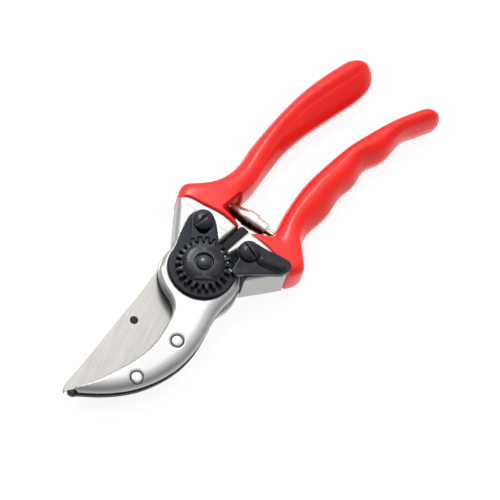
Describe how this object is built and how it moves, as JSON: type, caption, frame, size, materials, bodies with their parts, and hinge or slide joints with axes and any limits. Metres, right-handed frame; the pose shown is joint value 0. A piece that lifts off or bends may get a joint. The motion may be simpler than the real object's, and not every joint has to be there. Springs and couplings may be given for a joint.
{
  "type": "pruning shears",
  "caption": "Hand-held bypass pruning shears with a curved hook, a ground steel blade, a toothed pivot nut, a thumb catch and red sleeved handles, closed.",
  "frame": {"origin": "on the pivot axis, at the underside of the pivot bolt's head", "axes": "+X towards the handle ends, with the blade's tip at -X; +Y towards the hook side's handle; +Z towards the nut"},
  "size_m": [0.2158, 0.0642, 0.0282],
  "materials": {
    "forged_aluminium": "satin forged and tumbled aluminium, soft edges",
    "red_sleeve": "glossy red non-slip sleeve",
    "black_steel": "black phosphated steel",
    "nut_steel": "black blued steel with a smooth hub",
    "screw_steel": "black oxide steel",
    "catch_steel": "black coated steel, smoother on the thumb ridge",
    "blade_steel": "ground blade steel with fine slanting grind lines",
    "rivet_aluminium": "flush ground rivet",
    "bright_steel": "bright nickel-plated spring strip",
    "pin_steel": "plain ground steel",
    "bush_bronze": "bronze bush",
    "black_rubber": "black moulded rubber"
  },
  "bodies": {
    "hook_handle": {"hook_frame": "forged_aluminium", "hook_grip": "red_sleeve", "counter_blade": "black_steel", "counter_rivet_tip": "rivet_aluminium", "counter_rivet_heel": "rivet_aluminium", "lock_plate": "black_steel", "pivot_nut": "nut_steel", "nut_segment": "black_steel", "segment_screw": "screw_steel", "pivot_bolt": "screw_steel", "volute_spring": "bright_steel"},
    "blade_handle": {"blade_frame": "forged_aluminium", "blade_grip": "red_sleeve", "cutting_blade": "blade_steel", "blade_pin_upper": "pin_steel", "blade_pin_lower": "pin_steel", "pivot_bush": "bush_bronze", "rubber_bumper": "black_rubber", "catch_screw": "screw_steel", "catch_washer": "pin_steel"},
    "catch": {"thumb_catch": "catch_steel"}
  },
  "joints": [
    {"name": "pivot", "type": "hinge", "parent": "hook_handle", "child": "blade_handle", "pos_m": [0, 0, 0], "axis": [0, 0, -1], "range_deg": [0, 26], "deforming": ["volute_spring"]},
    {"name": "catch_turn", "type": "hinge", "parent": "blade_handle", "child": "catch", "pos_m": [0.0188, -0.0093, 0], "axis": [0, 0, 1], "range_deg": [0, 35]}
  ]
}
